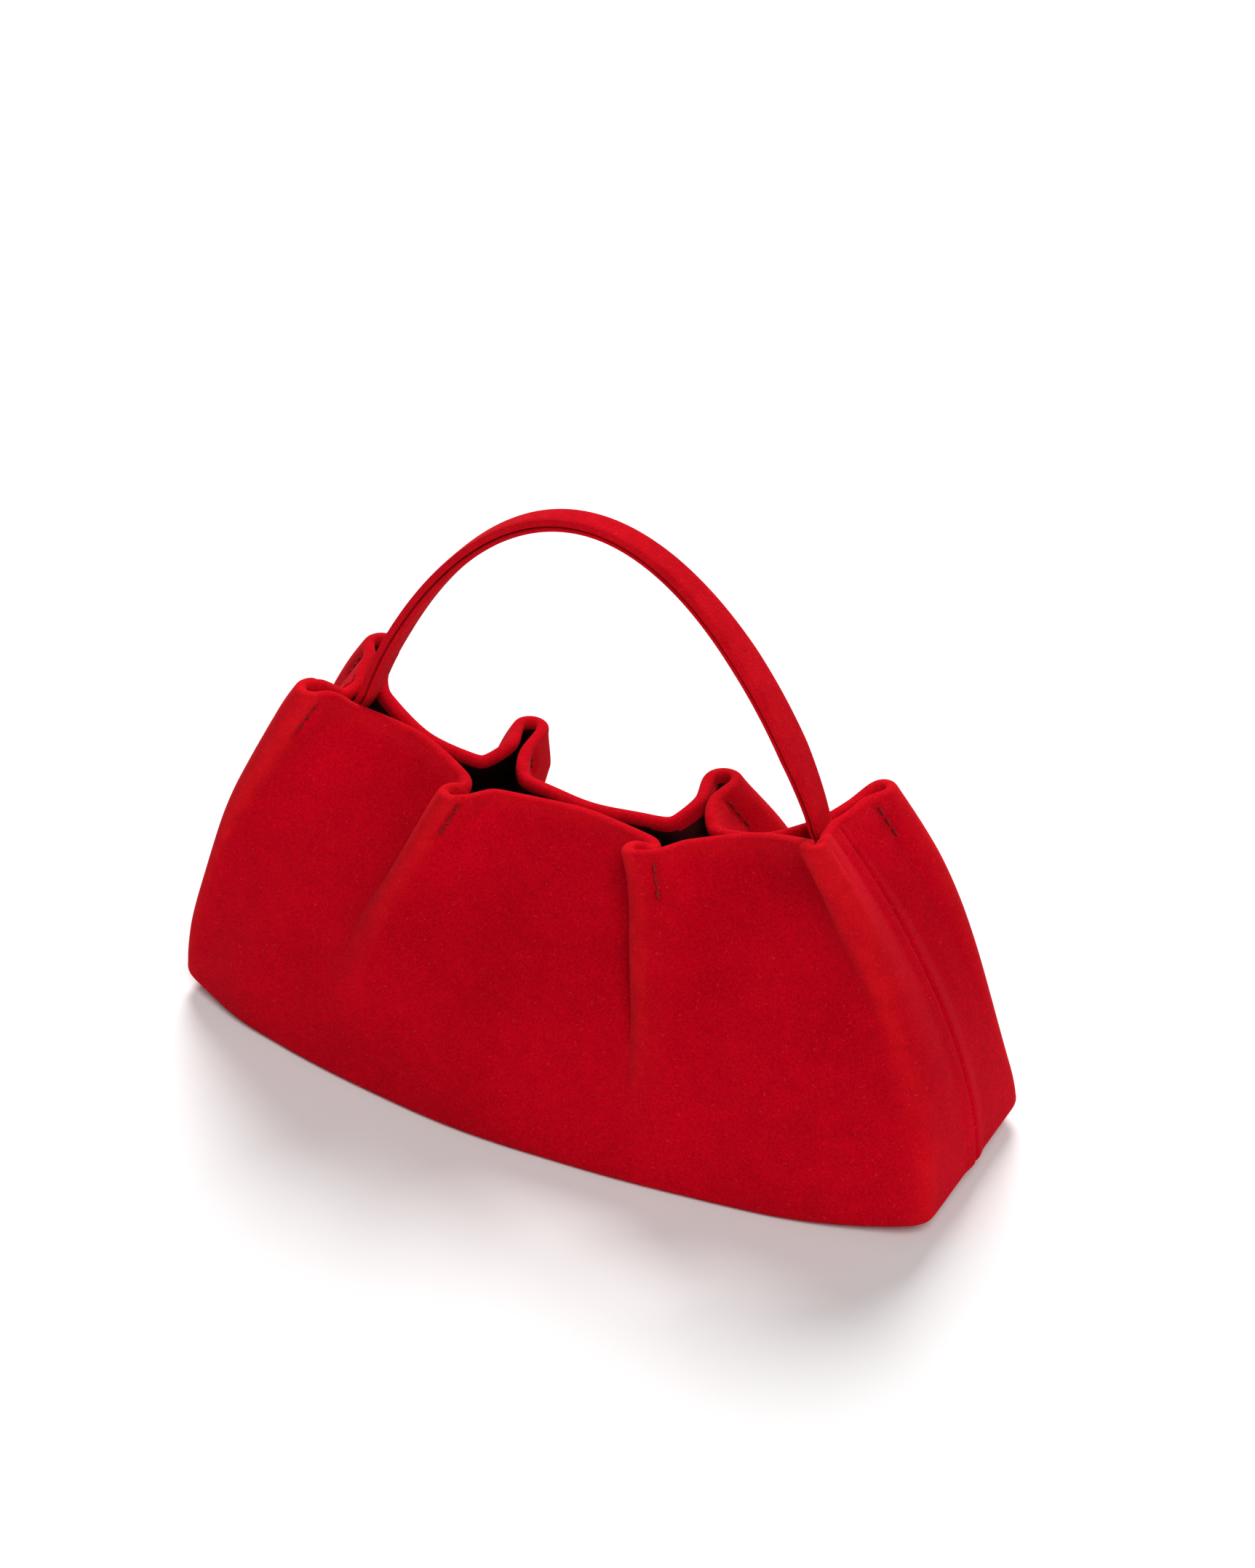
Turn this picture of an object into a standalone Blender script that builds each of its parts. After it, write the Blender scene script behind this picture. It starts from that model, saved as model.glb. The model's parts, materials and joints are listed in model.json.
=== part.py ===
"""Small top-handle bag of thick suede. Each long wall is pinched into four outward fins that are tacked at
the rim, so a wide oval base narrows to a scalloped mouth, and one arched strap joins the two ends.
X runs along the bag, the front faces -Y, +Z is up, and the origin is under the middle of the base."""

import math

import bmesh
import bpy
import numpy as np

# Body, metres
BASE_HALF_LENGTH = 0.142
BASE_END_HALF_DEPTH = 0.0375
BASE_BOW = 0.0224
BASE_SKEW = 0.0020
BASE_END_LIFT = 0.0055
BASE_FLAT_HALF_LENGTH = 0.090
RIM_HEIGHT_MIDDLE = 0.0995
RIM_RISE = 0.022
RIM_RISE_AT = 0.090
RIM_SEAM_X = 0.0875
RIM_TOUCH_Y = 0.0028
END_PROFILE_POWER = 1.72
WALL_PROFILE_POWER = 1.35
RIM_CURVE_POWER = 1.6
STAND_UP = 0.55

# Layers of the wall, each as (inner, outer) distance from the middle surface of the wall
RIM_HALF_THICKNESS = 0.00215
SHELL_LAYER = (0.00035, RIM_HALF_THICKNESS)
LINING_LAYER = (-RIM_HALF_THICKNESS, -0.00115)
MAGNET_LAYER = (-0.0006, 0.0001)
SEAM_GAP = 0.0002
SHELL_LEVELS = (0, 0.06, 0.16, 0.30, 0.45, 0.60, 0.72, 0.82, 0.88, 0.94, 1.0)
FACING_FOOT = 0.70
FACING_TOP = 0.985
LINING_TOP = 0.695
MAGNET_LEVELS = (0.915, 0.965)
MAGNET_PLACES = (0.44, 0.56)

# Layers of the base, heights above its underside
BASE_PANEL_TOP = 0.0022
WALL_FOOT = 0.0025
BOARD_LAYER = (0.0025, 0.0043)
BASE_LINING_LAYER = (0.0046, 0.0054)
LINING_FOOT = 0.0062
LINING_CORNER_CUT = 0.25

# Fins: place on the wall at the rim and at the foot, length, lean in degrees that the tip bends over to
# (positive to +X), radius of the loop at the tip, half width of the pinched neck, height as a share of the
# wall where the fin is fully folded, how far its tip stands above the rim, how much it widens below its tack
FRONT_FINS = (
    (0.10, 0.07, 0.0120, -52.0, 0.0040, 0.0024, 1.00, 0.0070, 1.5),
    (0.32, 0.285, 0.0115, -65.0, 0.0032, 0.0024, 0.92, 0.0, 1.5),
    (0.68, 0.62, 0.0130, -75.0, 0.0030, 0.0024, 0.80, 0.0, 1.5),
    (0.90, 0.955, 0.0090, 8.0, 0.0032, 0.0024, 1.40, 0.0034, 6.0),
)
BACK_FINS = (
    (0.10, 0.10, 0.0215, -24.0, 0.0044, 0.0026, 1.00, 0.0015, 3.0),
    (0.32, 0.32, 0.0262, -14.0, 0.0042, 0.0026, 0.95, 0.0030, 5.0),
    (0.68, 0.68, 0.0270, -6.0, 0.0048, 0.0026, 0.95, 0.0040, 5.0),
    (0.90, 0.90, 0.0190, 24.0, 0.0034, 0.0026, 1.00, 0.0022, 3.0),
)
# Depth of the fin roots at the rim, sag of the rim between the corner fins, how fast a corner rises inward,
# and the rounding where a fin leaves the rim
FRONT_WALL = (0.012, 0.0, 1.85, 0.0034)
BACK_WALL = (0.0085, 0.0034, 1.46, 0.0055)
MIDDLE_SAG_SHARE = 0.3
PANEL_PUFF = 0.0035
FIN_BEND_SHARE = 0.5
FIN_ROOT_FROM = 0.72
FIN_FADE_FROM = 0.12
PINCHED_ABOVE = 0.88
FIN_SPREAD_AT_BASE = 0.055
WIDENS_OVER = 0.2
CORNER_WINDOW = 0.010
CORNER_KEPT = 0.03
PLATE_CORNER = 0.006

# Stations round one wall from the -X seam to the +X seam
STATION = (0.0, 0.10, 0.32, 0.50, 0.68, 0.90, 1.0)
BASE_STATION_X = (-0.142, -0.142, -0.064, 0.0, 0.064, 0.142, 0.142)
RIM_STATION_X = (-RIM_SEAM_X, -0.0885, -0.035, 0.0, 0.035, 0.0885, RIM_SEAM_X)

# Handle
HANDLE_ROOT_X = 0.083
HANDLE_ROOT_Z = 0.1165
HANDLE_RISE = 0.086
HANDLE_ARCH_POWER = 0.87
HANDLE_PIVOT_Z = 0.122
STRAP_WIDTH_TOP = 0.0092
STRAP_WIDTH_LEG = 0.0128
STRAP_WIDTH_ROOT = 0.0098
STRAP_HALF_THICKNESS = 0.00225
ANCHOR_WIDTH = 0.0088
ANCHOR_LAYER = (-0.0050, -0.0026)
TAPE_WIDTH = 0.012
TAPE_LAYER = (-0.0033, -0.0025)
TAPE_SHARES = (0.12, 0.58)
ANCHOR_SHARES = (0.80, 0.94)

TACK_RADIUS = 0.00045
TACK_LENGTH = 0.0105
TACK_BELOW_RIM = 0.0030
TACK_CLEARANCE = 0.0004
TACK_PLACE = 0.60
FRONT_TACK_SIDES = (1, 1, 1, -1)
BACK_TACK_SIDES = (-1, 1, 1, 1)


def mix(a, b, share):
    return a + (b - a) * share


def ease(x):
    """Smooth step from 0 to 1."""
    x = np.clip(x, 0, 1)
    return x * x * (3 - 2 * x)


def base_lift(x):
    """How far the base has risen off the floor at x: nothing in the middle, most at both ends."""
    beyond = np.clip((np.abs(x) - BASE_FLAT_HALF_LENGTH) / (BASE_HALF_LENGTH - BASE_FLAT_HALF_LENGTH), 0, 1)
    return BASE_END_LIFT * beyond**2


def base_edge_y(x):
    """Depth of the base's long edge from the centre line: an arc, a little fuller towards -X."""
    along = x / BASE_HALF_LENGTH
    return BASE_END_HALF_DEPTH + (BASE_BOW - BASE_SKEW * along) * (1 - along**2)


def rim_height(x):
    """Height of the scalloped rim, lowest in the middle."""
    return RIM_HEIGHT_MIDDLE + RIM_RISE * (x / RIM_RISE_AT) ** 2


def base_point(q):
    """Plan point of the wall's foot, on the middle surface of the wall; outward is -Y."""
    x = np.interp(q, STATION, BASE_STATION_X)
    end = np.minimum(np.minimum(q, 1 - q) / STATION[1], 1)
    shrink = (BASE_HALF_LENGTH - RIM_HALF_THICKNESS) / BASE_HALF_LENGTH
    return np.stack([x * shrink, -(base_edge_y(x) * end - RIM_HALF_THICKNESS * np.minimum(end, 1))], -1)


def rounded_base_point(q):
    """The foot with its corners rounded, by averaging the plan over a short way to each side."""
    window = np.linspace(-CORNER_WINDOW, CORNER_WINDOW, 9)
    points = [base_point(np.abs(np.clip(q + w, -1, 1)) - 2 * np.maximum(q + w - 1, 0)) for w in window]
    ends = np.minimum(np.minimum(q, 1 - q) / CORNER_KEPT, 1)[..., None]
    return mix(base_point(q), np.mean(points, axis=0), ends)


def rim_point(q, wall):
    """Plan point of the rim, which bows in to the centre line between each two fins."""
    x = np.interp(q, STATION, RIM_STATION_X)
    bounds = (STATION[1], STATION[2], STATION[4], STATION[5])
    place = np.interp(q, bounds, (0, 1, 2, 3))
    across = 2 * (place - np.clip(np.floor(place), 0, 2)) - 1
    depth = RIM_TOUCH_Y + (wall[0] - RIM_TOUCH_Y) * np.abs(across) ** RIM_CURVE_POWER
    end = np.minimum(np.minimum(q, 1 - q) / STATION[1], 1)
    return np.stack([x, -depth * end], -1)


def smooth_wall(q, t, wall):
    """Middle surface of the unfolded wall, at place q from seam to seam and height t from foot to rim."""
    foot = rounded_base_point(q)
    rim = rim_point(q, wall)
    corner = 1 - np.abs(np.interp(q, (0, 0.1, 0.3, 0.7, 0.9, 1), (1, 0, 1, 1, 0, 1)))
    along_x = t ** mix(END_PROFILE_POWER, wall[2], corner)
    lean = (1 - t**WALL_PROFILE_POWER) * (1 - STAND_UP * t**8)
    low = base_lift(foot[..., 0] * BASE_HALF_LENGTH / (BASE_HALF_LENGTH - RIM_HALF_THICKNESS)) + WALL_FOOT
    sag = wall[1] * ease((q - 0.1) / 0.12) * ease((0.9 - q) / 0.12)
    sag *= mix(MIDDLE_SAG_SHARE, 1, ease((np.abs(q - 0.5) - 0.06) / 0.12))
    z = mix(low, rim_height(rim[..., 0]) - sag, t)
    return np.stack([mix(foot[..., 0], rim[..., 0], along_x), mix(rim[..., 1], foot[..., 1], lean), z], -1)


def curve_through(knots, points, at):
    """Smooth curve through control points, by Hermite pieces with central slopes."""
    points = np.asarray(points)
    slopes = np.gradient(points, knots, axis=0)
    piece = np.clip(np.searchsorted(knots, at, side="right") - 1, 0, len(knots) - 2)
    span = np.asarray(knots)[piece + 1] - np.asarray(knots)[piece]
    s = ((at - np.asarray(knots)[piece]) / span)[..., None]
    span = span[..., None]
    return (
        (2 * s**3 - 3 * s**2 + 1) * points[piece]
        + (s**3 - 2 * s**2 + s) * span * slopes[piece]
        + (3 * s**2 - 2 * s**3) * points[piece + 1]
        + (s**3 - s**2) * span * slopes[piece + 1]
    )


def fin_offset(across, length, lean, tip, neck, fillet, opening):
    """Plan of one fin: a round tip, a pinched neck and a flared root, all bent over by its lean."""
    width = neck + fillet
    knots = (-0.15, 0, 0.13, 0.27, 0.46, 0.70, 0.88, 1.0)
    points = (
        (length - 0.4 * tip, -0.8 * tip),
        (length, 0),
        (length - 0.35 * tip, 0.8 * tip),
        (length - 1.1 * tip, tip),
        (0.58 * length, mix(neck, tip, 0.45)),
        (0.30 * length, neck),
        (0.07 * length, neck + 0.3 * fillet),
        (0, width),
    )
    along = curve_through(knots, points, np.abs(across))
    out = along[..., 0]
    sideways = np.sign(across) * along[..., 1] * opening
    bend = length * FIN_BEND_SHARE
    full = math.radians(lean)
    turn = full * np.clip(out / bend, 0, 1)
    straight = np.maximum(out - bend, 0)
    x = bend / full * (1 - np.cos(turn)) + straight * math.sin(full)
    y = bend / full * np.sin(turn) + straight * math.cos(full)
    return np.stack([x + sideways * np.cos(turn), -(y - sideways * np.sin(turn)), np.zeros_like(x)], -1)


def fin_share(t, full):
    """How far a fin is folded at height t, from flat near the foot to fully folded."""
    return ease((t - FIN_FADE_FROM) / (full - FIN_FADE_FROM))


def fin_place(fin, t):
    """Where a fin's middle lies on the wall at height t."""
    return mix(fin[1], fin[0], ease(t / 0.95))


def fin_spread(fin, side, t, wall):
    """Half width of a fin's foot on the wall, in places, on its -1 or +1 side."""
    station = STATION.index(fin[0])
    beside = station + side
    speed = (RIM_STATION_X[beside] - RIM_STATION_X[station]) / (STATION[beside] - STATION[station])
    speed = max(abs(speed), FRONT_WALL[0] / STATION[1])
    at_rim = (fin[5] + wall[3]) / speed
    opened = np.clip((PINCHED_ABOVE - t) / PINCHED_ABOVE, 0, 1) ** 0.8
    spread = mix(at_rim, FIN_SPREAD_AT_BASE, opened)
    place = fin_place(fin, t)
    return np.minimum(spread, 0.8 * (place if side < 0 else 1 - place))


def wall_point(section, share, t, fins, wall):
    """Middle surface of a finned wall. Even sections 0, 2, 4... are panels and odd ones are fins."""
    order = section // 2
    if section % 2:
        fin = fins[order]
        length, lean, tip, neck, full, rise, widening = fin[2:]
        place = fin_place(fin, t)
        across = 2 * share - 1
        spread = np.where(across < 0, fin_spread(fin, -1, t, wall), fin_spread(fin, 1, t, wall))
        foot = smooth_wall(place + across * spread, t, wall)
        opening = 1 + widening * np.clip(1 - t, 0, WIDENS_OVER)
        folded = smooth_wall(place, t, wall) + fin_offset(across, length, lean, tip, neck, wall[3], opening)
        folded[..., 2] = foot[..., 2] + rise * t**5
        root = ease((np.abs(across) - FIN_ROOT_FROM) / (1 - FIN_ROOT_FROM))
        return mix(foot, folded, (fin_share(t, full) * (1 - root))[..., None])
    low = np.zeros_like(t)
    high = np.ones_like(t)
    if order > 0:
        low = fin_place(fins[order - 1], t) + fin_spread(fins[order - 1], 1, t, wall)
    if order < len(fins):
        high = fin_place(fins[order], t) - fin_spread(fins[order], -1, t, wall)
    point = smooth_wall(mix(low, high, share), t, wall)
    if 0 < order < len(fins):
        point[..., 1] -= PANEL_PUFF * np.sin(math.pi * share) ** 2 * 1.9 * np.sqrt(t) * (1 - t)
    return point


def normals_of(grid):
    """Unit normals of a point grid, outward for a front wall."""
    along = np.gradient(grid, axis=0)
    up = np.gradient(grid, axis=1)
    normal = np.cross(along, up)
    return normal / np.linalg.norm(normal, axis=-1, keepdims=True)


def finned_grid(fins, wall, levels, per_panel, per_fin):
    """Columns of the finned wall from seam to seam, and their outward normals."""
    fine = 4
    columns = []
    for section in range(2 * len(fins) + 1):
        steps = fine * (per_fin if section % 2 else per_panel)
        shares = np.linspace(0, 1, steps + 1)[: None if section == 2 * len(fins) else -1]
        for share in shares:
            columns.append(wall_point(section, np.full(len(levels), share), levels, fins, wall))
    grid = np.array(columns)
    normal = normals_of(grid)
    return grid[::fine], normal[::fine]


def plain_grid(wall, levels, columns, start=0.0, end=1.0):
    """The wall with no fins, and its outward normals, between two places round it."""
    q, t = np.meshgrid(np.linspace(start, end, columns), levels, indexing="ij")
    grid = smooth_wall(q, t, wall)
    return grid, normals_of(grid)


def square_ends(normal):
    """Turns the normals of both end columns to lie along X, so that the seam edges stay plane."""
    normal = normal.copy()
    for column in (0, -1):
        normal[column, :, 1] = 0
        normal[column] /= np.linalg.norm(normal[column], axis=-1, keepdims=True)
    return normal


def add_mesh(name, points, faces, material, parent=None, smooth=True):
    mesh = bpy.data.meshes.new(name)
    mesh.from_pydata([tuple(p) for p in points], [], faces)
    mesh.validate()
    builder = bmesh.new()
    builder.from_mesh(mesh)
    bmesh.ops.recalc_face_normals(builder, faces=builder.faces)
    if builder.calc_volume(signed=True) < 0:
        bmesh.ops.reverse_faces(builder, faces=builder.faces)
    builder.to_mesh(mesh)
    builder.free()
    obj = bpy.data.objects.new(name, mesh)
    bpy.context.scene.collection.objects.link(obj)
    mesh.materials.append(material)
    if smooth:
        mesh.shade_smooth()
        mesh.set_sharp_from_angle(angle=math.radians(50))
    if parent:
        obj.parent = parent
        obj.matrix_parent_inverse = parent.matrix_world.inverted()
    return obj


def add_layer(name, outer, inner, material, parent, mirrored):
    """Closed solid between two point grids of the same shape."""
    columns, rows = outer.shape[:2]
    points = np.concatenate([outer.reshape(-1, 3), inner.reshape(-1, 3)])
    if mirrored:
        points = points * (1, -1, 1)
    first = np.arange(columns * rows).reshape(columns, rows)
    second = first + columns * rows
    faces = []
    for i in range(columns - 1):
        for j in range(rows - 1):
            faces.append((first[i, j], first[i + 1, j], first[i + 1, j + 1], first[i, j + 1]))
            faces.append((second[i, j], second[i, j + 1], second[i + 1, j + 1], second[i + 1, j]))
    loop = [(i, 0) for i in range(columns)] + [(columns - 1, j) for j in range(1, rows)]
    loop += [(i, rows - 1) for i in range(columns - 2, -1, -1)] + [(0, j) for j in range(rows - 2, 0, -1)]
    for k in range(len(loop)):
        a = loop[k]
        b = loop[(k + 1) % len(loop)]
        faces.append((first[a], second[a], second[b], first[b]))
    return add_mesh(name, points, [tuple(int(v) for v in f) for f in faces], material, parent)


def seam_cut(grid):
    """Keeps a wall's points on its own side of the side seams."""
    grid = grid.copy()
    grid[..., 1] = np.minimum(grid[..., 1], -SEAM_GAP)
    return grid


def add_wall_layer(name, grid, normal, layer, material, parent, mirrored):
    inner = seam_cut(grid + normal * layer[0])
    outer = seam_cut(grid + normal * layer[1])
    return add_layer(name, outer, inner, material, parent, mirrored)


def add_tack(name, fins, wall, which, side, material, parent, mirrored):
    """Row of hand stitches down one fin's neck, as one thread that dips between its stitches."""
    section = 2 * which + 1
    share = 0.5 + 0.5 * side * TACK_PLACE
    height = float(wall_point(section, np.array([share]), np.array([1.0]), fins, wall)[0, 2])
    rows = 13
    top = 1 - TACK_BELOW_RIM / height
    levels = np.linspace(top, top - TACK_LENGTH / height, rows)
    columns = [wall_point(section, np.full(rows, share + d), levels, fins, wall) for d in (-0.02, 0, 0.02)]
    normal = normals_of(np.array(columns))[1] * -1
    path = columns[1] + normal * (RIM_HALF_THICKNESS + TACK_RADIUS + TACK_CLEARANCE)
    swell = 1 + 0.35 * np.abs(np.sin(np.linspace(0, 3 * math.pi, rows)))
    points, faces = tube(path, TACK_RADIUS * swell, 6)
    if mirrored:
        points = points * (1, -1, 1)
    return add_mesh(name, points, faces, material, parent)


def tube(path, radii, sides):
    """Points and faces of a round tube along a path."""
    tangent = np.gradient(path, axis=0)
    tangent /= np.linalg.norm(tangent, axis=1, keepdims=True)
    first = np.cross(tangent, (1.0, 0.0, 0.0))
    first /= np.linalg.norm(first, axis=1, keepdims=True)
    second = np.cross(tangent, first)
    turn = np.linspace(0, 2 * math.pi, sides, endpoint=False)
    around = np.cos(turn)[None, :, None] * first[:, None] + np.sin(turn)[None, :, None] * second[:, None]
    rings = path[:, None] + around * np.asarray(radii)[:, None, None]
    return rings.reshape(-1, 3), ring_faces(len(path), sides)


def ring_faces(rings, sides):
    """Faces that join rings of points into a closed tube with flat ends."""
    faces = []
    for i in range(rings - 1):
        for k in range(sides):
            a = i * sides + k
            b = i * sides + (k + 1) % sides
            faces.append((a, b, b + sides, a + sides))
    faces.append(tuple(range(sides)))
    faces.append(tuple(reversed(range((rings - 1) * sides, rings * sides))))
    return faces


def add_plate(name, inset, layer, material):
    """Plate that follows the base outline, set in from it, between two heights over the base's underside."""
    half = BASE_HALF_LENGTH - inset
    xs = half * np.sin(np.linspace(-math.pi / 2, math.pi / 2, 19))
    near_end = np.clip((np.abs(xs) - (half - PLATE_CORNER)) / PLATE_CORNER, 0, 1)
    depth = base_edge_y(xs) - inset - PLATE_CORNER * (1 - np.sqrt(1 - near_end**2))
    shares = (-1, -0.5, 0, 0.5, 1)
    grids = []
    for height in layer:
        grid = [[(x, d * s, float(base_lift(x)) + height) for s in shares] for x, d in zip(xs, depth)]
        grids.append(np.array(grid))
    return add_layer(name, grids[1], grids[0], material, None, False)


def end_strip(side, width, layer, levels):
    """Point grids of a strip that runs down the inside of one end, across the side seam."""
    grids = []
    for offset in layer:
        rows = []
        for y in (-width / 2, 0, width / 2):
            line = smooth_wall(np.zeros(len(levels)), levels, FRONT_WALL)
            slope = np.gradient(line, axis=0)
            normal = np.stack([-slope[:, 2], np.zeros(len(levels)), slope[:, 0]], -1)
            normal /= np.linalg.norm(normal, axis=1, keepdims=True)
            shifted = line + normal * offset
            rows.append(np.stack([-side * shifted[:, 0], np.full(len(levels), y), shifted[:, 2]], -1))
        grids.append(np.array(rows))
    return grids


def strap_centre(places):
    """Centre line of the strap from root to root, and its outward normal in the XZ plane."""
    x = HANDLE_ROOT_X * np.sin(places)
    z = HANDLE_ROOT_Z + HANDLE_RISE * np.clip(np.cos(places), 0, 1) ** (2 * HANDLE_ARCH_POWER)
    line = np.stack([x, np.zeros_like(x), z], -1)
    tangent = np.gradient(line, axis=0)
    tangent /= np.linalg.norm(tangent, axis=1, keepdims=True)
    return line, np.stack([-tangent[:, 2], np.zeros_like(x), tangent[:, 0]], -1)


def strap_width(z):
    """Width of the strap at height z: narrow at its root, widest in its legs, narrow again at the top."""
    height = (z - HANDLE_PIVOT_Z) / (HANDLE_ROOT_Z + HANDLE_RISE - HANDLE_PIVOT_Z)
    knots = (-0.1, 0.0, 0.25, 0.6, 1.0)
    widths = (STRAP_WIDTH_ROOT, STRAP_WIDTH_ROOT, STRAP_WIDTH_LEG, STRAP_WIDTH_LEG * 0.95, STRAP_WIDTH_TOP)
    return np.interp(height, knots, widths)


def add_strap(name, section, low_z, material, parent):
    """Sweeps a section, given as (across, out) for a strap of the local width, along the handle's arch."""
    limit = math.acos(((low_z - HANDLE_ROOT_Z) / HANDLE_RISE) ** (0.5 / HANDLE_ARCH_POWER))
    places = np.linspace(-limit, limit, 33)
    line, outward = strap_centre(places)
    below = np.clip(HANDLE_PIVOT_Z - line[:, 2], 0, STRAP_WIDTH_ROOT / 2)
    rounding = np.sqrt(np.clip(1 - (below / (STRAP_WIDTH_ROOT / 2)) ** 2, 0.12, 1))
    points = []
    for centre, normal, width, share in zip(line, outward, strap_width(line[:, 2]), rounding):
        for across, out in section(width):
            points.append(centre + normal * out + np.array([0, across * share, 0]))
    return add_mesh(name, np.array(points), ring_faces(len(places), len(section(0.01))), material, parent)


def cover_section(width):
    """Upper band of the strap: a crowned face with both edges turned down round a shallow channel."""
    half = width / 2
    top = STRAP_HALF_THICKNESS
    outer = [(-half, -0.0004), (-half * 0.97, 0.0008), (-half * 0.78, 0.0018), (-half * 0.4, top)]
    outer += [(-a, n) for a, n in reversed(outer)]
    lip = half - 0.0013
    channel = half - 0.0016
    return outer + [(lip, -0.0004), (channel, 0.0007), (-channel, 0.0007), (-lip, -0.0004)]


def core_section(width):
    """Flat webbing that fills the channel."""
    half = width / 2 - 0.0020
    return [(-half, -0.0004), (-half, 0.0004), (half, 0.0004), (half, -0.0004)]


def underlay_section(width):
    """Lower band of the strap, narrower than the upper one."""
    half = width / 2 - 0.0008
    low = -STRAP_HALF_THICKNESS
    left = [(-half + 0.0004, low), (-half, -0.0015), (-half, -0.0007)]
    return left + [(-a, n) for a, n in reversed(left)]


def new_material(name, color, roughness, metallic=0.0):
    material = bpy.data.materials.new(name)
    material.use_nodes = True
    shader = material.node_tree.nodes["Principled BSDF"]
    shader.inputs["Base Color"].default_value = (*color, 1)
    shader.inputs["Roughness"].default_value = roughness
    shader.inputs["Metallic"].default_value = metallic
    material.diffuse_color = (*color, 1)
    return material


def new_body(name, location):
    """Empty at a body's joint, which its nodes are parented to."""
    empty = bpy.data.objects.new(name, None)
    empty.location = location
    bpy.context.scene.collection.objects.link(empty)
    bpy.context.view_layer.update()
    return empty


def add_wall(word, fins, wall, tack_sides, looks, parent, mirrored):
    """One long wall: its shell, turned facing, lining, hidden closure bar and four tacks."""
    suede, lining, steel, thread = looks
    grid, normal = finned_grid(fins, wall, np.array(SHELL_LEVELS), 5, 10)
    shell = suede(f"{word}_shell")
    add_wall_layer(f"{word}_shell", grid, square_ends(normal), SHELL_LAYER, shell, parent, mirrored)
    grid, normal = plain_grid(wall, np.linspace(FACING_FOOT, FACING_TOP, 7), 37)
    facing = lining(f"{word}_facing")
    add_wall_layer(f"{word}_facing", grid, square_ends(normal), LINING_LAYER, facing, parent, mirrored)
    levels = np.linspace(0, LINING_TOP, 8)
    grid, normal = plain_grid(wall, levels, 37)
    grid[..., 2] += (LINING_FOOT - WALL_FOOT) * (1 - levels / LINING_TOP)
    chord = (grid[:-2] + grid[2:]) / 2
    grid[1:-1] += (chord - grid[1:-1]) * LINING_CORNER_CUT * ease(levels / 0.25)[None, :, None]
    cloth = lining(f"{word}_lining")
    add_wall_layer(f"{word}_lining", grid, square_ends(normal), LINING_LAYER, cloth, parent, mirrored)
    grid, normal = plain_grid(wall, np.linspace(*MAGNET_LEVELS, 4), 9, *MAGNET_PLACES)
    bar = steel(f"{word}_magnet")
    add_wall_layer(f"{word}_magnet", grid, normal, MAGNET_LAYER, bar, parent, mirrored)
    for which, side in enumerate(tack_sides):
        name = f"{word}_tack_{which + 1}"
        add_tack(name, fins, wall, which, side, thread(name), parent, mirrored)


def main():
    for obj in list(bpy.data.objects):
        bpy.data.objects.remove(obj)

    def suede(name):
        return new_material(name, (0.50, 0.008, 0.012), 0.95)

    def lining(name):
        return new_material(name, (0.16, 0.012, 0.014), 0.8)

    def steel(name):
        return new_material(name, (0.62, 0.62, 0.64), 0.35, 1.0)

    def thread(name):
        return new_material(name, (0.35, 0.02, 0.025), 0.7)

    foot_y = BASE_END_HALF_DEPTH + BASE_BOW
    front = new_body("front_wall", (0, -foot_y, WALL_FOOT))
    back = new_body("back_wall", (0, foot_y, WALL_FOOT))
    handle = new_body("handle", (0, 0, HANDLE_PIVOT_Z))
    looks = (suede, lining, steel, thread)
    add_wall("front", FRONT_FINS, FRONT_WALL, FRONT_TACK_SIDES, looks, front, False)
    add_wall("back", BACK_FINS, BACK_WALL, BACK_TACK_SIDES, looks, back, True)
    add_plate("base_panel", 0.0, (0.0, BASE_PANEL_TOP), suede("base_panel"))
    board = new_material("base_board", (0.30, 0.22, 0.14), 0.9)
    add_plate("base_board", 0.0070, BOARD_LAYER, board)
    add_plate("base_lining", 0.0060, BASE_LINING_LAYER, lining("base_lining"))
    for word, side in (("left", -1), ("right", 1)):
        levels = np.linspace(*TAPE_SHARES, 7)
        inner, outer = end_strip(side, TAPE_WIDTH, TAPE_LAYER, levels)
        add_layer(f"seam_tape_{word}", outer, inner, lining(f"seam_tape_{word}"), None, False)
        levels = np.linspace(*ANCHOR_SHARES, 6)
        inner, outer = end_strip(side, ANCHOR_WIDTH, ANCHOR_LAYER, levels)
        add_layer(f"handle_anchor_{word}", outer, inner, suede(f"handle_anchor_{word}"), None, False)
    add_strap("handle_cover", cover_section, 0.1180, suede("handle_cover"), handle)
    core = new_material("handle_core", (0.8, 0.76, 0.66), 0.9)
    add_strap("handle_core", core_section, 0.1215, core, handle)
    add_strap("handle_underlay", underlay_section, 0.1180, suede("handle_underlay"), handle)


main()
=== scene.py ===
"""Looks of the ruched suede top-handle bag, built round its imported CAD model."""

import json
import math

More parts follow.
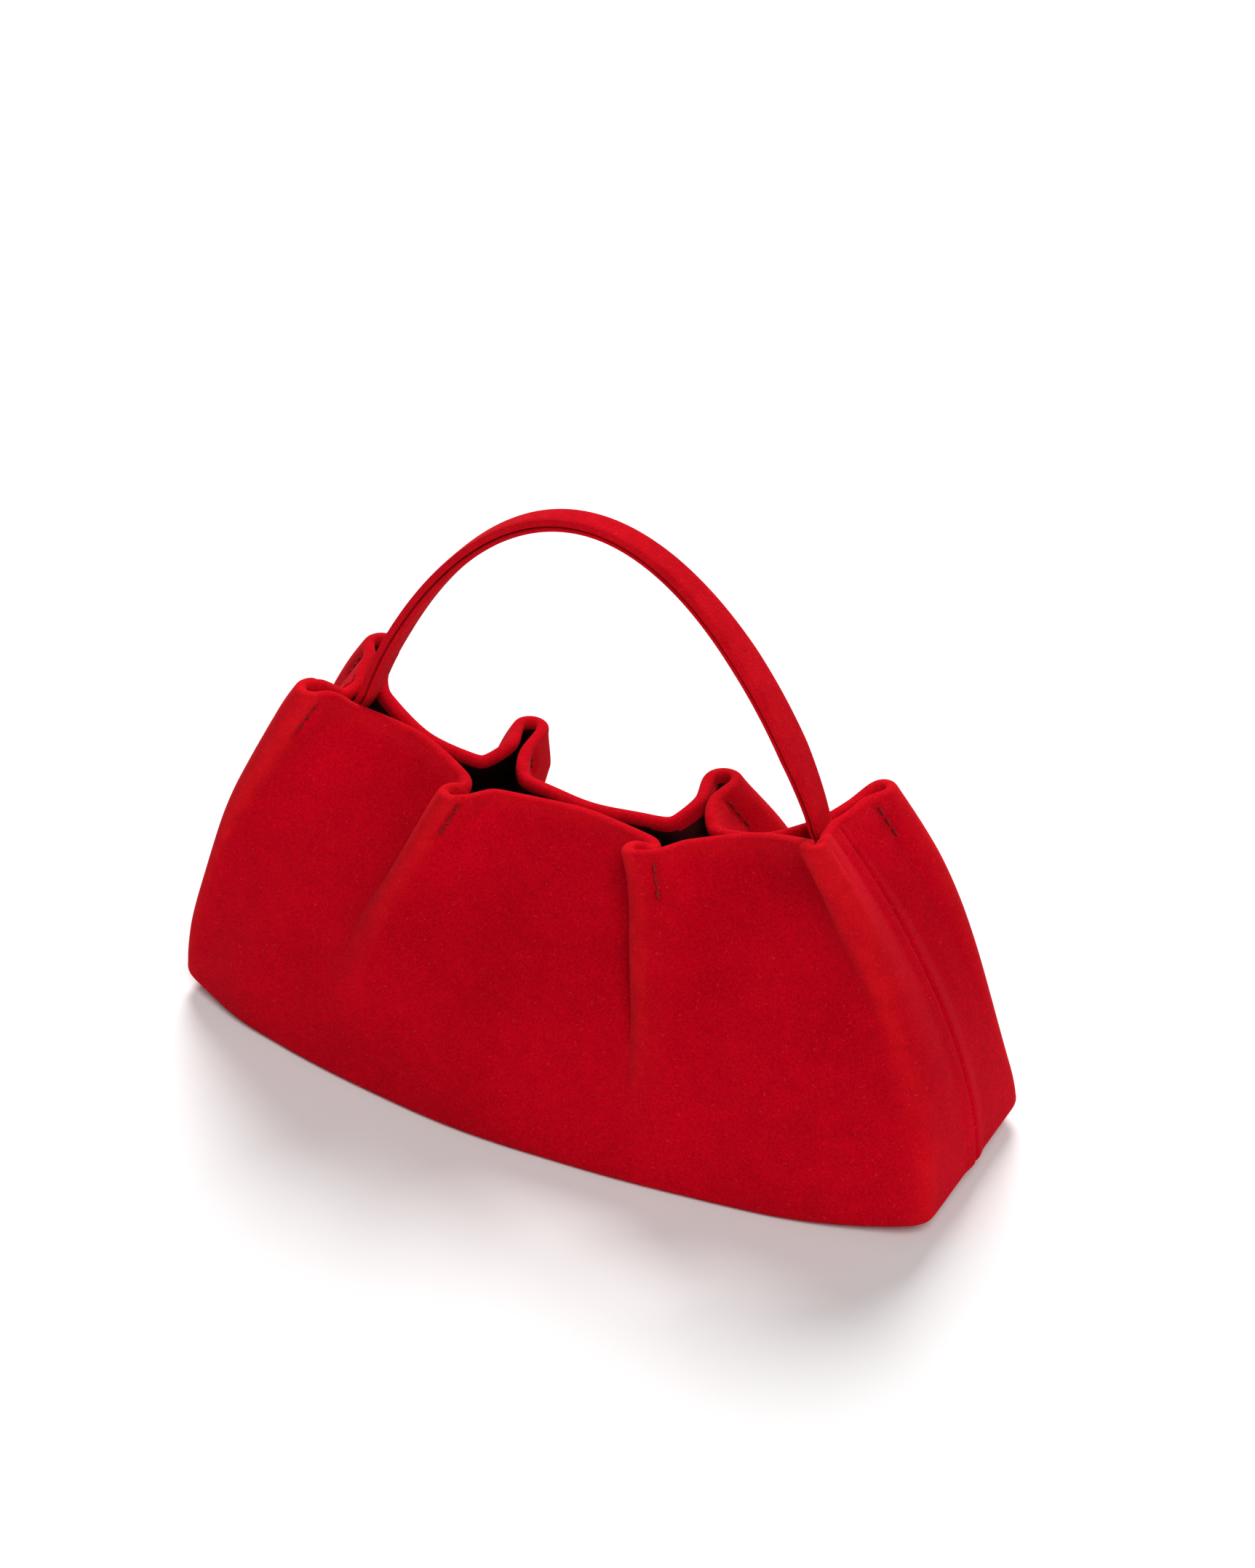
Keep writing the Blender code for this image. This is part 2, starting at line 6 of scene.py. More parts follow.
import bmesh
import bpy
import numpy as np
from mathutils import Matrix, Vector


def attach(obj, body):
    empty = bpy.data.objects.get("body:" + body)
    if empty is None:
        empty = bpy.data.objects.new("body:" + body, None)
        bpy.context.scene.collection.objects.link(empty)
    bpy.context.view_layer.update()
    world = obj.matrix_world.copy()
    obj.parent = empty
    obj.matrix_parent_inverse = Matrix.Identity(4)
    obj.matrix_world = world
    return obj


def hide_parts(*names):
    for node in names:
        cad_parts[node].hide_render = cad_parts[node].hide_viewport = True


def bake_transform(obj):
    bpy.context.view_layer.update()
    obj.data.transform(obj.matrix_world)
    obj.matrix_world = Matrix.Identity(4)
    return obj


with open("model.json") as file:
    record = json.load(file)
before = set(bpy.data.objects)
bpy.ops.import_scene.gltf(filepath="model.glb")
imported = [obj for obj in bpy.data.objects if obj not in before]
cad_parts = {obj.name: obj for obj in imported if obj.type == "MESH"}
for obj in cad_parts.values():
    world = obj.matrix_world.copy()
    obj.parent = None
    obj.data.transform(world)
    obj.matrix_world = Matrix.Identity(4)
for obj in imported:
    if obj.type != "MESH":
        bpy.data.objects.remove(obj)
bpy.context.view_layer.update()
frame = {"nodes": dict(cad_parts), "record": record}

# ---------------------------------------------------------------- sizes, metres

# Body
BASE_HALF_LENGTH = 0.142
BASE_END_HALF_DEPTH = 0.0375
BASE_BOW = 0.0224
BASE_SKEW = 0.0020
BASE_END_LIFT = 0.0055
BASE_FLAT_HALF_LENGTH = 0.090
RIM_HEIGHT_MIDDLE = 0.0995
RIM_RISE = 0.022
RIM_RISE_AT = 0.090
RIM_SEAM_X = 0.0875
RIM_TOUCH_Y = 0.0026
END_PROFILE_POWER = 1.72
WALL_PROFILE_POWER = 1.35
RIM_CURVE_POWER = 1.6
STAND_UP = 0.55
WALL_FOOT = 0.0025

# Layers of the wall, as distances from its middle surface: half its thickness, the inner face of the suede
# below the facing, and the lining's two faces behind it
HALF_BAND = 0.00215
SHELL_INSIDE = -0.0001
LINING_FACES = (0.0024, 0.0031)
# Heights as shares of the wall: the facing's foot, the step there and the lining. Then, in metres, how far
# below the rim the inside turns from suede to the near-black lining cloth, which paints shade into the bag
FACING_FOOT = 0.70
FACING_FADE = 0.012
LINING_LEVELS = (0.03, 0.715)
SHADED_INSIDE_BELOW_RIM = 0.004

# Foot of the wall: the row from which it rolls in and the rows of the roll, gap to the floor, how far its
# corner is drawn out, its run in under the base as a roll and then as a hem, and the suede's thickness and
# lift from the hem's edge to the wall
FOOT_ROW = 1
ROLL_STEPS = 9
FLOOR_GAP = 0.0002
CORNER_FULLNESS = 0.0014
ROLL_RUN = 0.0042
HEM_RUN = 0.0030
HEM_THICKNESS = (0.0012, 0.0021)
HEM_LIFT = (0.0013, 0.0004)
BASE_INSET = 0.0065
UNDERSIDE_HEIGHTS = (0.0022, 0.0004)
PLATE_CORNER = 0.006

# Fins: place on the wall at the rim and at the foot, length, lean in degrees that the tip bends over to
# (positive to +X), radius of the loop at the tip, half width of the pinched neck, height as a share of the
# wall where the fin is fully folded, how far its tip stands above the rim, how much it widens below its tack
FRONT_FINS = (
    (0.10, 0.07, 0.0120, -52.0, 0.0040, 0.0024, 1.00, 0.0070, 1.5),
    (0.32, 0.285, 0.0115, -65.0, 0.0032, 0.0024, 0.92, 0.0, 1.5),
    (0.68, 0.62, 0.0130, -75.0, 0.0030, 0.0024, 0.80, 0.0, 1.5),
    (0.90, 0.955, 0.0090, 8.0, 0.0032, 0.0024, 1.40, 0.0034, 6.0),
)
BACK_FINS = (
    (0.10, 0.10, 0.0215, -24.0, 0.0044, 0.0026, 1.00, 0.0015, 3.0),
    (0.32, 0.32, 0.0262, -14.0, 0.0042, 0.0026, 0.95, 0.0030, 5.0),
    (0.68, 0.68, 0.0270, -6.0, 0.0048, 0.0026, 0.95, 0.0040, 5.0),
    (0.90, 0.90, 0.0190, 24.0, 0.0034, 0.0026, 1.00, 0.0022, 3.0),
)
# Depth of the fin roots at the rim, sag of the rim between the corner fins, how fast a corner rises inward,
# and the rounding where a fin leaves the rim
FRONT_WALL = (0.012, 0.0, 1.85, 0.0034)
BACK_WALL = (0.0085, 0.0034, 1.46, 0.0055)
MIDDLE_SAG_SHARE = 0.3
PANEL_PUFF = 0.0035
FIN_BEND_SHARE = 0.5
FIN_ROOT_FROM = 0.72
FIN_FADE_FROM = 0.12
PINCHED_ABOVE = 0.88
FIN_SPREAD_AT_BASE = 0.055
WIDENS_OVER = 0.2
CORNER_WINDOW = 0.010
CORNER_KEPT = 0.03
# How far each fin opens into a broad roll below its tack, from 0 to 1
FRONT_SOFTNESS = (0.45, 0.50, 0.0, 1.0)

# Stations round one wall from the -X seam to the +X seam
STATION = (0.0, 0.10, 0.32, 0.50, 0.68, 0.90, 1.0)
BASE_STATION_X = (-BASE_HALF_LENGTH,) * 2 + (-0.064, 0.0, 0.064) + (BASE_HALF_LENGTH,) * 2
RIM_STATION_X = (-RIM_SEAM_X, -0.0885, -0.035, 0.0, 0.035, 0.0885, RIM_SEAM_X)

# Side seams: width of the roll beside one, depth of the dip, height of the roll and the way it fades over
SEAM_ROLL = 0.0018
SEAM_DIP = 0.0011
SEAM_RAISE = 0.0007
SEAM_FADE = 0.006

# Hand stitches: place of the row, its side of each fin, the thread, and the suede pulled in round it
TACK_LENGTH = 0.0105
TACK_BELOW_RIM = 0.0030
TACK_PLACE = 0.60
FRONT_TACK_SIDES = (1, 1, 1, -1)
BACK_TACK_SIDES = (-1, 1, 1, 1)
THREAD_RADIUS = 0.00042
THREAD_ARCH = 0.0007
THREAD_SUNK_SHARE = 0.85
PUCKER_DEPTH = 0.0013
PUCKER_RADIUS = 0.0017

# Handle
HANDLE_ROOT_X = 0.083
HANDLE_ROOT_Z = 0.1165
HANDLE_RISE = 0.086
HANDLE_ARCH_POWER = 0.87
HANDLE_PIVOT_Z = 0.122
STRAP_WIDTH_TOP = 0.0092
STRAP_WIDTH_LEG = 0.0128
STRAP_WIDTH_ROOT = 0.0098
STRAP_LEAN = 0.0022
STRAP_TAIL_X = (0.0822, 0.0836, 0.0862, 0.0898, 0.0945, 0.0992)
STRAP_TAIL_Z = (0.1160, 0.1135, 0.1105, 0.1070, 0.1025, 0.0965)
STRAP_TAIL_FROM_Z = 0.1185

# Mesh density, and how often the fins are evened out below their tacks
PER_PANEL = 44
PER_FIN = 60
FOLD_ROUNDS = 220

# Looks: ribs of the twill, tightest bend that takes the full painted highlight, seam margin with no painted
# highlight, and how pale the painted highlight makes the nap on bends and along the rim, and how pale the
# nap is all over the handle
TWILL_SCALE = 390
FULL_HIGHLIGHT_BEND = 0.004
HIGHLIGHT_SEAM_MARGIN = 0.004
HIGHLIGHT_SHARE = 0.8
RIM_HIGHLIGHT = 0.30
HANDLE_PALE_NAP = 0.42

# Camera, in degrees, metres and millimetres of lens, and suns as (towards, strength, spread in degrees)
CAMERA_AZIMUTH = 29.9
CAMERA_ELEVATION = 34.5
CAMERA_ROLL = -0.7
CAMERA_DISTANCE = 1.0765
CAMERA_TARGET_Z = 0.075
CAMERA_SHIFT = (0.0252, 0.0530)
LENS_MM = 75.54
SENSOR_MM = 36.0
KEY_SUN = ((0.42, -0.45, 0.77), 1.65, 32)
BACK_SUN = ((-0.30, 0.62, 0.72), 3.0, 26)
WORLD_LIGHT = 0.15
FLOOR_HALF_WIDTH = 4.0


def mix(a, b, share):
    """The value a share of the way from a to b."""
    return a + (b - a) * share


def ease(x):
    """Smooth step from 0 to 1."""
    x = np.clip(x, 0, 1)
    return x * x * (3 - 2 * x)


# ---------------------------------------------------------------- shape of the wall


def base_lift(x):
    """How far the base has risen off the floor at x: nothing in the middle, most at both ends."""
    beyond = np.clip((np.abs(x) - BASE_FLAT_HALF_LENGTH) / (BASE_HALF_LENGTH - BASE_FLAT_HALF_LENGTH), 0, 1)
    return BASE_END_LIFT * beyond**2


def base_edge_y(x):
    """Depth of the base's long edge from the centre line: an arc, a little fuller towards -X."""
    along = x / BASE_HALF_LENGTH
    return BASE_END_HALF_DEPTH + (BASE_BOW - BASE_SKEW * along) * (1 - along**2)


def rim_height(x):
    """Height of the scalloped rim, lowest in the middle."""
    return RIM_HEIGHT_MIDDLE + RIM_RISE * (x / RIM_RISE_AT) ** 2


def base_point(q):
    """Plan point of the wall's foot, on the middle surface of the wall; outward is -Y."""
    x = np.interp(q, STATION, BASE_STATION_X)
    end = np.minimum(np.minimum(q, 1 - q) / STATION[1], 1)
    shrink = (BASE_HALF_LENGTH - HALF_BAND) / BASE_HALF_LENGTH
    return np.stack([x * shrink, -(base_edge_y(x) * end - HALF_BAND * np.minimum(end, 1))], -1)


def rounded_base_point(q):
    """The foot with its corners rounded, by averaging the plan over a short way to each side."""
    window = np.linspace(-CORNER_WINDOW, CORNER_WINDOW, 9)
    points = [base_point(np.abs(np.clip(q + w, -1, 1)) - 2 * np.maximum(q + w - 1, 0)) for w in window]
    ends = np.minimum(np.minimum(q, 1 - q) / CORNER_KEPT, 1)[..., None]
    return mix(base_point(q), np.mean(points, axis=0), ends)


def rim_point(q, wall):
    """Plan point of the rim, which bows in to the centre line between each two fins."""
    x = np.interp(q, STATION, RIM_STATION_X)
    bounds = (STATION[1], STATION[2], STATION[4], STATION[5])
    place = np.interp(q, bounds, (0, 1, 2, 3))
    across = 2 * (place - np.clip(np.floor(place), 0, 2)) - 1
    depth = RIM_TOUCH_Y + (wall[0] - RIM_TOUCH_Y) * np.abs(across) ** RIM_CURVE_POWER
    end = np.minimum(np.minimum(q, 1 - q) / STATION[1], 1)
    return np.stack([x, -depth * end], -1)


def smooth_wall(q, t, wall):
    """Middle surface of the unfolded wall, at place q from seam to seam and height t from foot to rim."""
    foot = rounded_base_point(q)
    rim = rim_point(q, wall)
    corner = 1 - np.abs(np.interp(q, (0, 0.1, 0.3, 0.7, 0.9, 1), (1, 0, 1, 1, 0, 1)))
    along_x = t ** mix(END_PROFILE_POWER, wall[2], corner)
    lean = (1 - t**WALL_PROFILE_POWER) * (1 - STAND_UP * t**8)
    low = base_lift(foot[..., 0] * BASE_HALF_LENGTH / (BASE_HALF_LENGTH - HALF_BAND)) + WALL_FOOT
    sag = wall[1] * ease((q - 0.1) / 0.12) * ease((0.9 - q) / 0.12)
    sag *= mix(MIDDLE_SAG_SHARE, 1, ease((np.abs(q - 0.5) - 0.06) / 0.12))
    z = mix(low, rim_height(rim[..., 0]) - sag, t)
    return np.stack([mix(foot[..., 0], rim[..., 0], along_x), mix(rim[..., 1], foot[..., 1], lean), z], -1)


def curve_through(knots, points, at):
    """Smooth curve through control points, by Hermite pieces with central slopes."""
    points = np.asarray(points)
    knots = np.asarray(knots)
    slopes = np.gradient(points, knots, axis=0)
    piece = np.clip(np.searchsorted(knots, at, side="right") - 1, 0, len(knots) - 2)
    span = (knots[piece + 1] - knots[piece])[..., None]
    s = (at - knots[piece])[..., None] / span
    return (
        (2 * s**3 - 3 * s**2 + 1) * points[piece]
        + (s**3 - 2 * s**2 + s) * span * slopes[piece]
        + (3 * s**2 - 2 * s**3) * points[piece + 1]
        + (s**3 - s**2) * span * slopes[piece + 1]
    )


def fin_offset(across, length, lean, tip, neck, fillet, opening):
    """Plan of one fin: a round tip, a pinched neck and a flared root, all bent over by its lean."""
    width = neck + fillet
    knots = (-0.15, 0, 0.13, 0.27, 0.46, 0.70, 0.88, 1.0)
    points = (
        (length - 0.4 * tip, -0.8 * tip),
        (length, 0),
        (length - 0.35 * tip, 0.8 * tip),
        (length - 1.1 * tip, tip),
        (0.58 * length, mix(neck, tip, 0.45)),
        (0.30 * length, neck),
        (0.07 * length, neck + 0.3 * fillet),
        (0, width),
    )
    along = curve_through(knots, points, np.abs(across))
    out = along[..., 0]
    sideways = np.sign(across) * along[..., 1] * opening
    bend = length * FIN_BEND_SHARE
    full = math.radians(lean)
    turn = full * np.clip(out / bend, 0, 1)
    straight = np.maximum(out - bend, 0)
    x = bend / full * (1 - np.cos(turn)) + straight * math.sin(full)
    y = bend / full * np.sin(turn) + straight * math.cos(full)
    return np.stack([x + sideways * np.cos(turn), -(y - sideways * np.sin(turn)), np.zeros_like(x)], -1)


def fin_share(t, full):
    """How far a fin is folded at height t, from flat near the foot to fully folded."""
    return ease((t - FIN_FADE_FROM) / (full - FIN_FADE_FROM))


def fin_place(fin, t):
    """Where a fin's middle lies on the wall at height t."""
    return mix(fin[1], fin[0], ease(t / 0.95))


def fin_spread(fin, side, t, wall):
    """Half width of a fin's foot on the wall, in places, on its -1 or +1 side."""
    station = STATION.index(fin[0])
    beside = station + side
    speed = (RIM_STATION_X[beside] - RIM_STATION_X[station]) / (STATION[beside] - STATION[station])
    speed = max(abs(speed), FRONT_WALL[0] / STATION[1])
    at_rim = (fin[5] + wall[3]) / speed
    opened = np.clip((PINCHED_ABOVE - t) / PINCHED_ABOVE, 0, 1) ** 0.8
    spread = mix(at_rim, FIN_SPREAD_AT_BASE, opened)
    place = fin_place(fin, t)
    return np.minimum(spread, 0.8 * (place if side < 0 else 1 - place))


def wall_point(section, share, t, fins, wall):
    """Middle surface of a finned wall. Even sections 0, 2, 4... are panels and odd ones are fins."""
    order = section // 2
    if section % 2:
        fin = fins[order]
        length, lean, tip, neck, full, rise, widening = fin[2:]
        place = fin_place(fin, t)
        across = 2 * share - 1
        spread = np.where(across < 0, fin_spread(fin, -1, t, wall), fin_spread(fin, 1, t, wall))
        foot = smooth_wall(place + across * spread, t, wall)
        opening = 1 + widening * np.clip(1 - t, 0, WIDENS_OVER)
        folded = smooth_wall(place, t, wall) + fin_offset(across, length, lean, tip, neck, wall[3], opening)
        folded[..., 2] = foot[..., 2] + rise * t**5
        root = ease((np.abs(across) - FIN_ROOT_FROM) / (1 - FIN_ROOT_FROM))
        return mix(foot, folded, (fin_share(t, full) * (1 - root))[..., None])
    low = np.zeros_like(t)
    high = np.ones_like(t)
    if order > 0:
        low = fin_place(fins[order - 1], t) + fin_spread(fins[order - 1], 1, t, wall)
    if order < len(fins):
        high = fin_place(fins[order], t) - fin_spread(fins[order], -1, t, wall)
    point = smooth_wall(mix(low, high, share), t, wall)
    if 0 < order < len(fins):
        point[..., 1] -= PANEL_PUFF * np.sin(math.pi * share) ** 2 * 1.9 * np.sqrt(t) * (1 - t)
    return point


# ---------------------------------------------------------------- grids and meshes


def section_columns():
    """(section, share) of every column of a wall, from the -X seam to the +X seam."""
    columns = []
    for section in range(9):
        steps = PER_FIN if section % 2 else PER_PANEL
        shares = np.linspace(0, 1, steps + 1)
        if section == 0:
            shares = shares**2
        if section == 8:
            shares = 1 - (1 - shares) ** 2
        columns += [(section, s) for s in (shares if section == 8 else shares[:-1])]
    return columns


def soften(grid, levels, rounds):
    """Evens the wall along its length, more in its lower half than at its rim."""
    grid = grid.copy()
    share = mix(0.35, 0.5, ease((0.93 - levels) / 0.5))[None, :, None]
    for _ in range(rounds):
        middle = (grid[:-2] + grid[2:]) / 2
        grid[1:-1] += (middle - grid[1:-1]) * share
    return grid


def soften_folds(grid, columns, levels, softness):
    """Fins open into broad rolls below their tacks: evens each out there by its softness, from 0 to 1."""
    grid = grid.copy()
    near = []
    for section, share in columns:
        order = section // 2
        if section % 2:
            near.append(softness[order])
            continue
        before = softness[order - 1] * (1 - ease(share / 0.4)) if order > 0 else 0.0
        after = softness[order] * ease((share - 0.6) / 0.4) if order < len(softness) else 0.0
        near.append(before + after)
    height = ease((0.98 - levels) / 0.28) * ease((levels - 0.14) / 0.34)
    share = 0.5 * np.array(near)[1:-1, None, None] * height[None, :, None]
    for _ in range(FOLD_ROUNDS):
        middle = (grid[:-2] + grid[2:]) / 2
        grid[1:-1] += (middle - grid[1:-1]) * share
    return grid


def normals_of(grid):
    """Unit normals of a point grid, outward for a front wall."""
    along = np.gradient(grid, axis=0)
    up = np.gradient(grid, axis=1)
    normal = np.cross(along, up)
    length = np.linalg.norm(normal, axis=-1, keepdims=True)
    return normal / np.maximum(length, 1e-12)


def square_ends(normal):
    """Takes the Y part out of the normals of both end columns, so that the seam edges stay plane."""
    normal = normal.copy()
    for column in (0, -1):
        normal[column, :, 1] = 0
    return normal / np.linalg.norm(normal, axis=-1, keepdims=True)


def wall_grid(fins, wall, softness, levels):
    """Middle surface of a finned wall as a grid, its normals, and the section and share of each column."""
    columns = section_columns()
    grid = np.array([wall_point(c, np.full(len(levels), s), levels, fins, wall) for c, s in columns])
    grid = soften(grid, levels, 10)
    if softness:
        grid = soften_folds(grid, columns, levels, softness)
    return grid, square_ends(normals_of(grid)), columns


def seam_roll(grid):
    """How far the suede stands out beside each side seam: it dips into the seam and rolls up beside it."""
    found = np.zeros(grid.shape[:2])
    for edge in (0, -1):
        gap = np.linalg.norm(grid - grid[edge][None], axis=-1)
        dip = np.sqrt(np.clip(1 - (1 - np.clip(gap / SEAM_ROLL, 0, 1)) ** 2, 0, 1))
        raised = (SEAM_DIP + SEAM_RAISE) * dip - SEAM_DIP
        found += np.where(gap < SEAM_ROLL, raised, SEAM_RAISE * (1 - ease((gap - SEAM_ROLL) / SEAM_FADE)))
    return found


def painted_highlight_of(outer, normal):
    """Painted highlight on a wall: how much paler its nap is made where it bends out tightly, up to a set
    share.
    """
    step = 3
    highlight_and_pale_nap = np.zeros(outer.shape[:2])
    bend = (outer[: -2 * step] + outer[2 * step :]) / 2 - outer[step:-step]
    reach = np.linalg.norm(outer[2 * step :] - outer[: -2 * step], axis=-1) / 2
    inward = -(bend * normal[step:-step]).sum(axis=-1)
    highlight_and_pale_nap[step:-step] = np.clip(2 * inward / np.maximum(reach, 1e-5) ** 2 * FULL_HIGHLIGHT_BEND, 0, 1)
    for edge in (0, -1):
        gap = np.linalg.norm(outer - outer[edge][None], axis=-1)
        highlight_and_pale_nap *= ease((gap - HIGHLIGHT_SEAM_MARGIN) / HIGHLIGHT_SEAM_MARGIN)
    for _ in range(12):
        highlight_and_pale_nap[1:-1] = (highlight_and_pale_nap[:-2] + 2 * highlight_and_pale_nap[1:-1] + highlight_and_pale_nap[2:]) / 4
    return highlight_and_pale_nap * HIGHLIGHT_SHARE


def mesh_from_grids(name, outer, inner, mirrored, mats, inner_slot=0, highlight_and_pale_nap=None):
    """Closed layer between two grids of one shape; faces of the inner grid more than a set depth below the
    top row take the material inner_slot, which on the walls is the dark lining cloth as painted shade.
    """
    columns, rows = outer.shape[:2]
    points = np.concatenate([outer.reshape(-1, 3), inner.reshape(-1, 3)])
    if mirrored:
        points = points * (1, -1, 1)
    first = np.arange(columns * rows).reshape(columns, rows)
    second = first + columns * rows
    a = np.stack([first[:-1, :-1], first[1:, :-1], first[1:, 1:], first[:-1, 1:]], -1).reshape(-1, 4)
    b = np.stack([second[:-1, :-1], second[:-1, 1:], second[1:, 1:], second[1:, :-1]], -1).reshape(-1, 4)
    loop = [(i, 0) for i in range(columns)] + [(columns - 1, j) for j in range(1, rows)]
    loop += [(i, rows - 1) for i in range(columns - 2, -1, -1)] + [(0, j) for j in range(rows - 2, 0, -1)]
    loop = np.array(loop)
    nxt = np.roll(loop, -1, axis=0)
    edge = np.stack(
        [first[tuple(loop.T)], second[tuple(loop.T)], second[tuple(nxt.T)], first[tuple(nxt.T)]], -1
    )
    faces = np.concatenate([a, b, edge])
    if mirrored:
        faces = faces[:, ::-1]
    mesh = bpy.data.meshes.new(name)
    mesh.from_pydata(points.tolist(), [], faces.tolist())
    for mat in mats:
        mesh.materials.append(mat)
    slots = np.zeros(len(faces), np.int32)
    height = points[b][:, :, 2].mean(axis=1)
    top = points[first[:, -1]][:, 2].reshape(-1)
    # Inner faces further below the rim than the set depth take the dark lining cloth: painted shade inside
    # the bag
    below = np.repeat(top[:-1], rows - 1) - height > SHADED_INSIDE_BELOW_RIM
    slots[len(a) : len(a) + len(b)] = np.where(below, inner_slot, 0)
    mesh.polygons.foreach_set("material_index", slots)
    if highlight_and_pale_nap is not None:
        values = np.concatenate([highlight_and_pale_nap.reshape(-1), highlight_and_pale_nap.reshape(-1)])
        mesh.attributes.new("highlight_and_pale_nap", "FLOAT", "POINT").data.foreach_set("value", values.astype(np.float32))
    mesh.shade_smooth()
    mesh.set_sharp_from_angle(angle=math.radians(65))
    obj = bpy.data.objects.new(name, mesh)
    bpy.context.scene.collection.objects.link(obj)
    return obj


def hang(obj):
    """Bakes a half of a wall, or what is on it, into its mesh where it stands."""
    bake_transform(obj)


def level_part(normal):
    """Unit vectors along the level part of some normals."""
    flat = normal * (1, 1, 0)
    return flat / np.linalg.norm(flat, axis=-1, keepdims=True)


def over_the_rim(grid, normal):
    """Rows of points over the round top of the rim, on the outer and on the inner side."""
    arc = np.radians(np.linspace(0, 82, 8)[1:])[None, :, None]
    flat = level_part(normal[:, -1])[:, None]
    crest = grid[:, -1][:, None] + np.array([0, 0, HALF_BAND]) * np.sin(arc)
    return crest + flat * HALF_BAND * np.cos(arc), crest - flat * HALF_BAND * np.cos(arc)


def turned_under(grid, normal, outer, inner):
    """The lowest part of a wall: it rolls over at the floor and runs a little way in under the base."""
    flat = level_part(normal[:, 0])
    floor = grid[:, 0, 2] - WALL_FOOT + FLOOR_GAP
    start = outer[:, FOOT_ROW]
    down = outer[:, FOOT_ROW] - outer[:, FOOT_ROW + 1]
    corner = start - down * ((start[:, 2] - floor) / down[:, 2])[:, None]
    corner = mix(corner, start * (1, 1, 0) + corner * (0, 0, 1) + flat * CORNER_FULLNESS, 0.5)
    end = corner - flat * ROLL_RUN
    s = np.linspace(0, 1, ROLL_STEPS)[None, :, None]
    roll = (1 - s) ** 2 * start[:, None] + 2 * s * (1 - s) * corner[:, None] + s**2 * end[:, None]
    hem = end - flat * HEM_RUN
    outside = np.concatenate([hem[:, None], roll[:, ::-1]], axis=1)
    depth = mix(*HEM_THICKNESS, np.linspace(0, 1, ROLL_STEPS + 1))[None, :, None]
    lifted = np.concatenate([np.zeros(1), np.linspace(0, 1, ROLL_STEPS)])[None, :, None]
    inside = outside - flat[:, None] * depth * ease(lifted)
    inside[..., 2] += (HEM_LIFT[0] * (1 - lifted) + HEM_LIFT[1] * lifted)[..., 0]
    inside[:, -1] = inner[:, FOOT_ROW]
    return outside, inside


def wall_levels():
    """Heights of a wall's rows, as shares of the wall, closest together near the rim."""
    foot = np.linspace(0, 0.1, 6)[:-1]
    middle = np.linspace(0.1, FACING_FOOT, 30)[:-1]
    return np.concatenate([foot, middle, np.linspace(FACING_FOOT, 1, 34)])


def carry_painted_highlight(highlight_and_pale_nap, levels, foot_rows, rim_rows):
    """Carries a wall's painted highlight on round its foot and over its rim, and adds a painted highlight
    along the rim.
    """
    foot = np.repeat(highlight_and_pale_nap[:, FOOT_ROW][:, None], foot_rows, axis=1)
    rim = np.repeat(highlight_and_pale_nap[:, -1][:, None], rim_rows, axis=1)
    highlight_and_pale_nap = np.concatenate([foot, highlight_and_pale_nap[:, FOOT_ROW + 1 :], rim], axis=1)
    # Painted highlight along the top of the wall
    near_rim = ease((levels[FOOT_ROW + 1 :] - 0.93) / 0.07)
    painted_rim_highlight = np.concatenate([np.zeros(foot_rows), near_rim, np.ones(rim_rows)])
    return np.maximum(highlight_and_pale_nap, RIM_HIGHLIGHT * painted_rim_highlight[None])


def make_wall(word, fins, wall, softness, tack_sides, mirrored, suede, cloth):
    """A thick suede wall in two halves: rolled seams, sunk stitches, a turned-under foot and a round rim."""
    levels = wall_levels()
    grid, normal, columns = wall_grid(fins, wall, softness, levels)
    grid[..., 2] -= HALF_BAND * (levels**6)[None, :]
    outer = grid + normal * (HALF_BAND + seam_roll(grid))[..., None]
    # Painted highlight: paler nap where the wall bends out tightly
    highlight_and_pale_nap = painted_highlight_of(outer, normal)
    outer = pucker(outer, normal, fins, wall, tack_sides)
    faced = ease((levels - FACING_FOOT) / FACING_FADE)[None, :, None]
    inner = grid + normal * mix(SHELL_INSIDE, -HALF_BAND, faced)
    foot_outer, foot_inner = turned_under(grid, normal, outer, inner)
    rim_outer, rim_inner = over_the_rim(grid, normal)
    outer = np.concatenate([foot_outer, outer[:, FOOT_ROW + 1 :], rim_outer], axis=1)
    inner = np.concatenate([foot_inner, inner[:, FOOT_ROW + 1 :], rim_inner], axis=1)
    highlight_and_pale_nap = carry_painted_highlight(highlight_and_pale_nap, levels, foot_outer.shape[1], rim_outer.shape[1])
    for layer in (outer, inner):
        layer[..., 1] = np.minimum(layer[..., 1], 0)
    middle = next(i for i, (c, s) in enumerate(columns) if c == 4 and s >= 0.5)
    for side, end, part in ((-1, "left", slice(0, middle + 1)), (1, "right", slice(middle, None))):
        name = f"{word}_wall_{end}"
        obj = mesh_from_grids(name, outer[part], inner[part], mirrored, [suede, cloth], 1, highlight_and_pale_nap[part])
        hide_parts(f"{word}_shell", f"{word}_facing")
        hang(obj)


def tack_line(fins, wall, which, side):
    """Middle surface and outward normal under a row of hand stitches on one face of a fin's neck."""
    section = 2 * which + 1
    share = 0.5 + 0.5 * side * TACK_PLACE
    height = float(wall_point(section, np.array([share]), np.array([1.0]), fins, wall)[0, 2])
    top = 1 - TACK_BELOW_RIM / height
    levels = np.linspace(top, top - TACK_LENGTH / height, 25)
    columns = [wall_point(section, np.full(25, share + d), levels, fins, wall) for d in (-0.02, 0, 0.02)]
    return columns[1], -normals_of(np.array(columns))[1]


